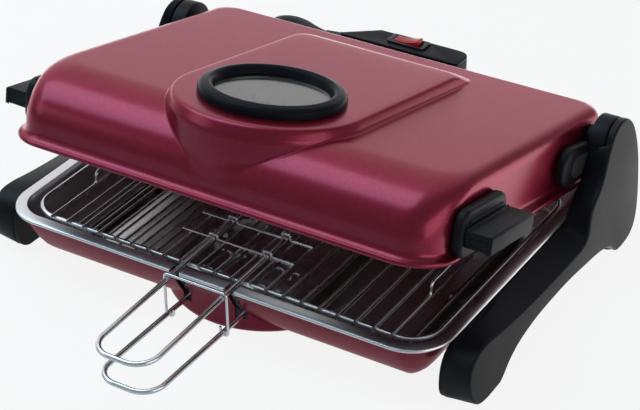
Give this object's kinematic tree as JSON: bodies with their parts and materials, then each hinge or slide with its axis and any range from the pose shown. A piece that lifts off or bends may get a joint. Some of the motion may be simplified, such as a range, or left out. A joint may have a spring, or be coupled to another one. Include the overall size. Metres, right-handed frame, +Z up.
{
  "type": "electric indoor grill with lid",
  "caption": "Countertop electric grill with a hinged window lid, a wire basket with sliding handles, a drip tray, side panels and a rear switch housing.",
  "frame": {"origin": "on the table plane under the middle of the whole width and depth, 32 mm in front of the drip tray's centre", "axes": "+X to the right, +Y to the rear where the hinge and the cord are, +Z up"},
  "size_m": [0.4284, 0.5219, 0.1747],
  "materials": {
    "wine_enamel": "metallic gloss enamel",
    "tray_aluminium": "polished",
    "black_plastic": "fine matt grain",
    "gloss_black": "satin gloss",
    "red_key": "gloss",
    "foot_rubber": "matt",
    "cord_rubber": "satin",
    "zinc_steel": "zinc plated",
    "bush_brass": "plain",
    "heater_steel": "heat-tinted",
    "ceramic": "glazed",
    "lead_insulation": "silicone sleeve",
    "window_glass": "clear, tempered",
    "clamp_aluminium": "plain",
    "wire_chrome": "bright plated"
  },
  "bodies": {
    "grill": {"base_pan": "wine_enamel", "drip_tray": "tray_aluminium", "side_panel_left": "black_plastic", "side_panel_right": "black_plastic", "side_inner_left": "black_plastic", "side_inner_right": "black_plastic", "rubber_feet": "foot_rubber", "panel_nuts": "zinc_steel", "hinge_pin_left": "zinc_steel", "hinge_pin_right": "zinc_steel", "heating_element": "heater_steel", "element_brackets": "zinc_steel", "element_flange": "zinc_steel", "terminal_insulators": "ceramic", "terminal_tabs": "bush_brass", "control_housing": "black_plastic", "control_cover": "black_plastic", "cover_screws": "zinc_steel", "rocker_switch_body": "gloss_black", "thermal_fuse": "ceramic", "wire_leads": "lead_insulation", "strain_relief": "cord_rubber", "mains_cord": "cord_rubber", "cord_coil": "cord_rubber", "plug_body": "cord_rubber", "plug_pins": "zinc_steel", "basket_upper_frame": "wire_chrome", "basket_upper_rods": "wire_chrome", "basket_upper_guides": "wire_chrome", "basket_lower_frame": "wire_chrome", "basket_lower_rods": "wire_chrome", "basket_lower_guides": "wire_chrome", "basket_hinge": "wire_chrome"},
    "lid": {"hinge_bush_left": "bush_brass", "hinge_bush_right": "bush_brass", "hinge_arm_left": "black_plastic", "hinge_arm_right": "black_plastic", "arm_screws": "zinc_steel", "lid_shell": "wine_enamel", "window_bezel": "gloss_black", "window_glass": "window_glass", "window_gasket": "foot_rubber", "window_clamp": "clamp_aluminium", "clamp_screws": "zinc_steel", "lid_grip_left": "black_plastic", "lid_grip_right": "black_plastic", "grip_base_left": "black_plastic", "grip_base_right": "black_plastic", "grip_screws": "zinc_steel"},
    "rocker_key": {"rocker": "red_key"},
    "upper_handle_loop": {"upper_handle": "wire_chrome"},
    "lower_handle_loop": {"lower_handle": "wire_chrome"},
    "bail": {"bail_lock": "wire_chrome"}
  },
  "joints": [
    {"name": "lid_hinge", "type": "hinge", "parent": "grill", "child": "lid", "pos_m": [0, 0.151, 0.091], "axis": [-1, 0, 0], "range_deg": [-12.5, 82]},
    {"name": "rocker_tilt", "type": "hinge", "parent": "grill", "child": "rocker_key", "pos_m": [-0.013, 0.211, 0.0935], "axis": [0, 1, 0], "range_deg": [0, 16]},
    {"name": "upper_handle_slide", "type": "slide", "parent": "grill", "child": "upper_handle_loop", "axis": [0, 0.9994, 0.0349], "range_m": [-0.009, 0.055]},
    {"name": "lower_handle_slide", "type": "slide", "parent": "grill", "child": "lower_handle_loop", "axis": [0, 1, 0], "range_m": [-0.009, 0.055]},
    {"name": "bail_slide", "type": "slide", "parent": "grill", "child": "bail", "axis": [0, -1, 0], "range_m": [-0.003, 0.015]}
  ]
}
